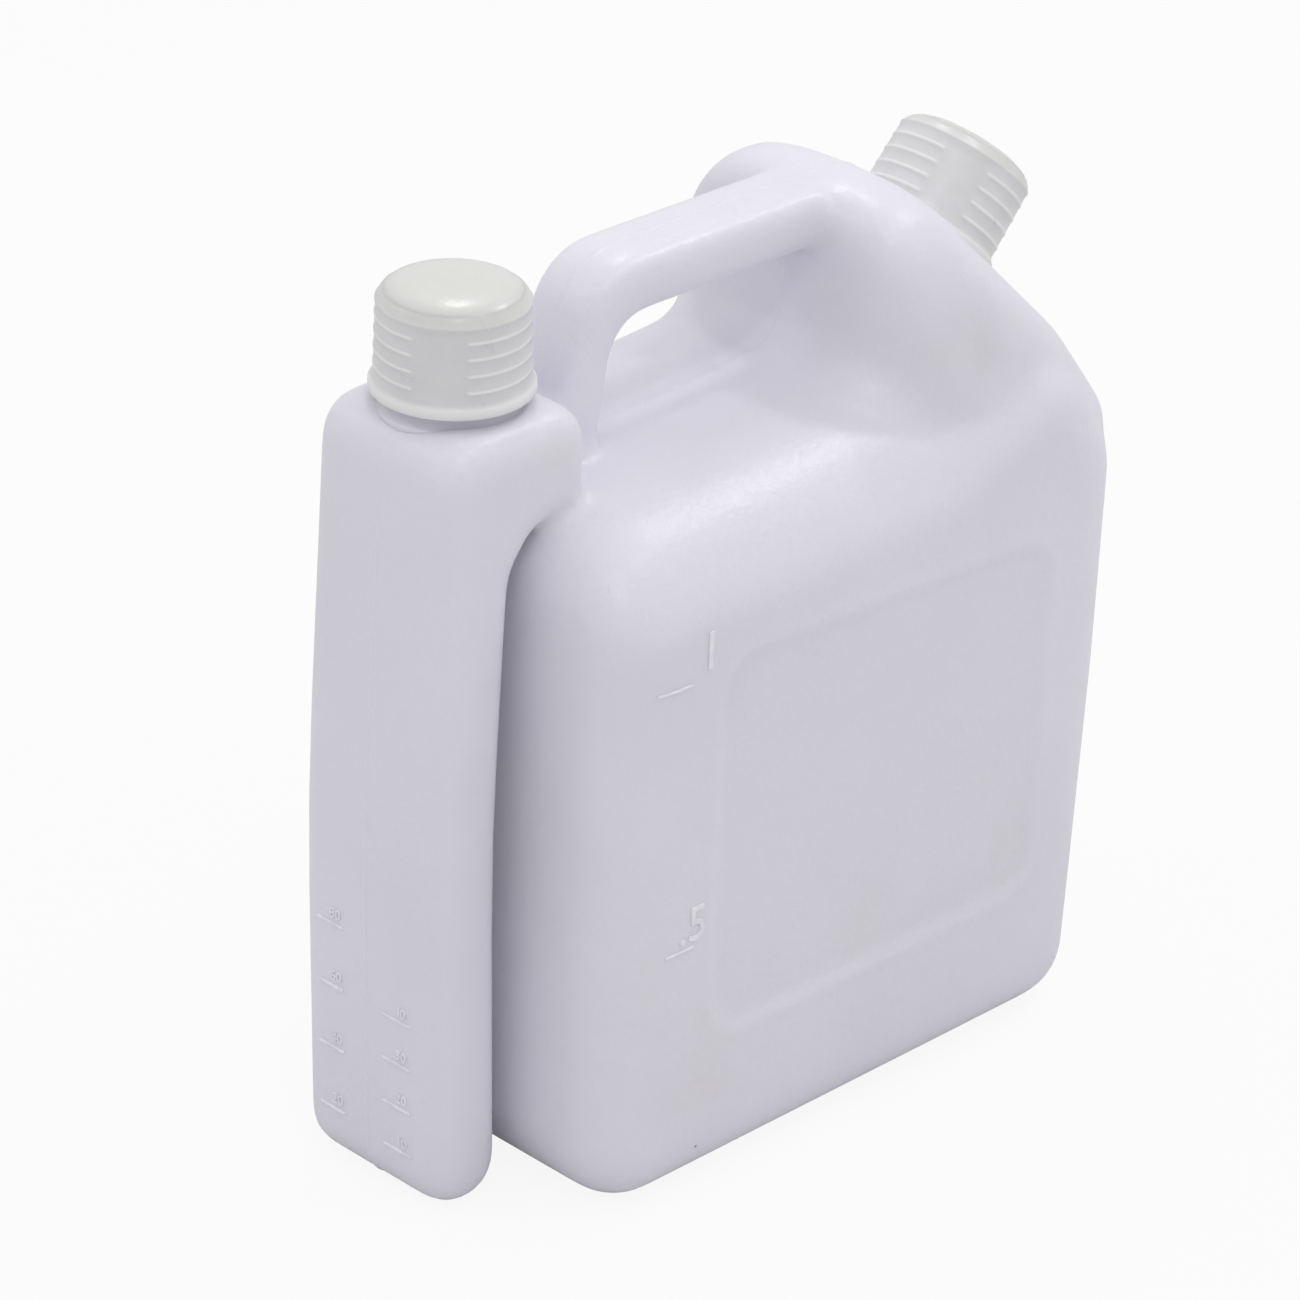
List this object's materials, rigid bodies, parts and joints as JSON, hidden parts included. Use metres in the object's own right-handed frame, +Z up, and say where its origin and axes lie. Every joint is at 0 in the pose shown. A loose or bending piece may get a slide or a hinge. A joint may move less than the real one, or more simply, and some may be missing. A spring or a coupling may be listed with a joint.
{
  "type": "fuel mixing bottle",
  "caption": "Translucent blow-moulded mixing bottle: main tank with tilted spout, narrow measuring chamber joined by a hollow handle, screw caps on both necks.",
  "frame": {"origin": "bottom centre of the whole object's box, on the surface the bottle stands on", "axes": "+Z up, +X from the measuring chamber towards the tilted spout, Y across the bottle's thickness, parting plane at y = 0"},
  "size_m": [0.178, 0.0928, 0.195],
  "materials": {
    "bottle_polyethylene": "satin, milky translucent",
    "cap_polypropylene": "satin, translucent",
    "seal_foam": "matte"
  },
  "bodies": {
    "bottle": {"bottle": "bottle_polyethylene"},
    "measuring_liner": {"measuring_cap_seal": "seal_foam"},
    "measuring_closure": {"measuring_cap": "cap_polypropylene"},
    "spout_liner": {"spout_cap_seal": "seal_foam"},
    "spout_closure": {"spout_cap": "cap_polypropylene"}
  },
  "joints": [
    {"name": "measuring_cap_lift", "type": "slide", "parent": "bottle", "child": "measuring_liner", "axis": [0, 0, 1], "range_m": [0, 0.01925]},
    {"name": "measuring_cap_turn", "type": "hinge", "parent": "measuring_liner", "child": "measuring_closure", "pos_m": [-0.06752, 0, 0.19], "axis": [0, 0, 1], "range_deg": [0, 1980]},
    {"name": "spout_cap_lift", "type": "slide", "parent": "bottle", "child": "spout_liner", "axis": [0.6756, 0, 0.7373], "range_m": [0, 0.01925]},
    {"name": "spout_cap_turn", "type": "hinge", "parent": "spout_liner", "child": "spout_closure", "pos_m": [0.06268, 0, 0.1654], "axis": [0.6756, 0, 0.7373], "range_deg": [0, 1980]}
  ],
  "couplings": [
    {"joint": "measuring_cap_lift", "follows": "measuring_cap_turn", "m_per_rad": 0.000557},
    {"joint": "spout_cap_lift", "follows": "spout_cap_turn", "m_per_rad": 0.000557}
  ]
}
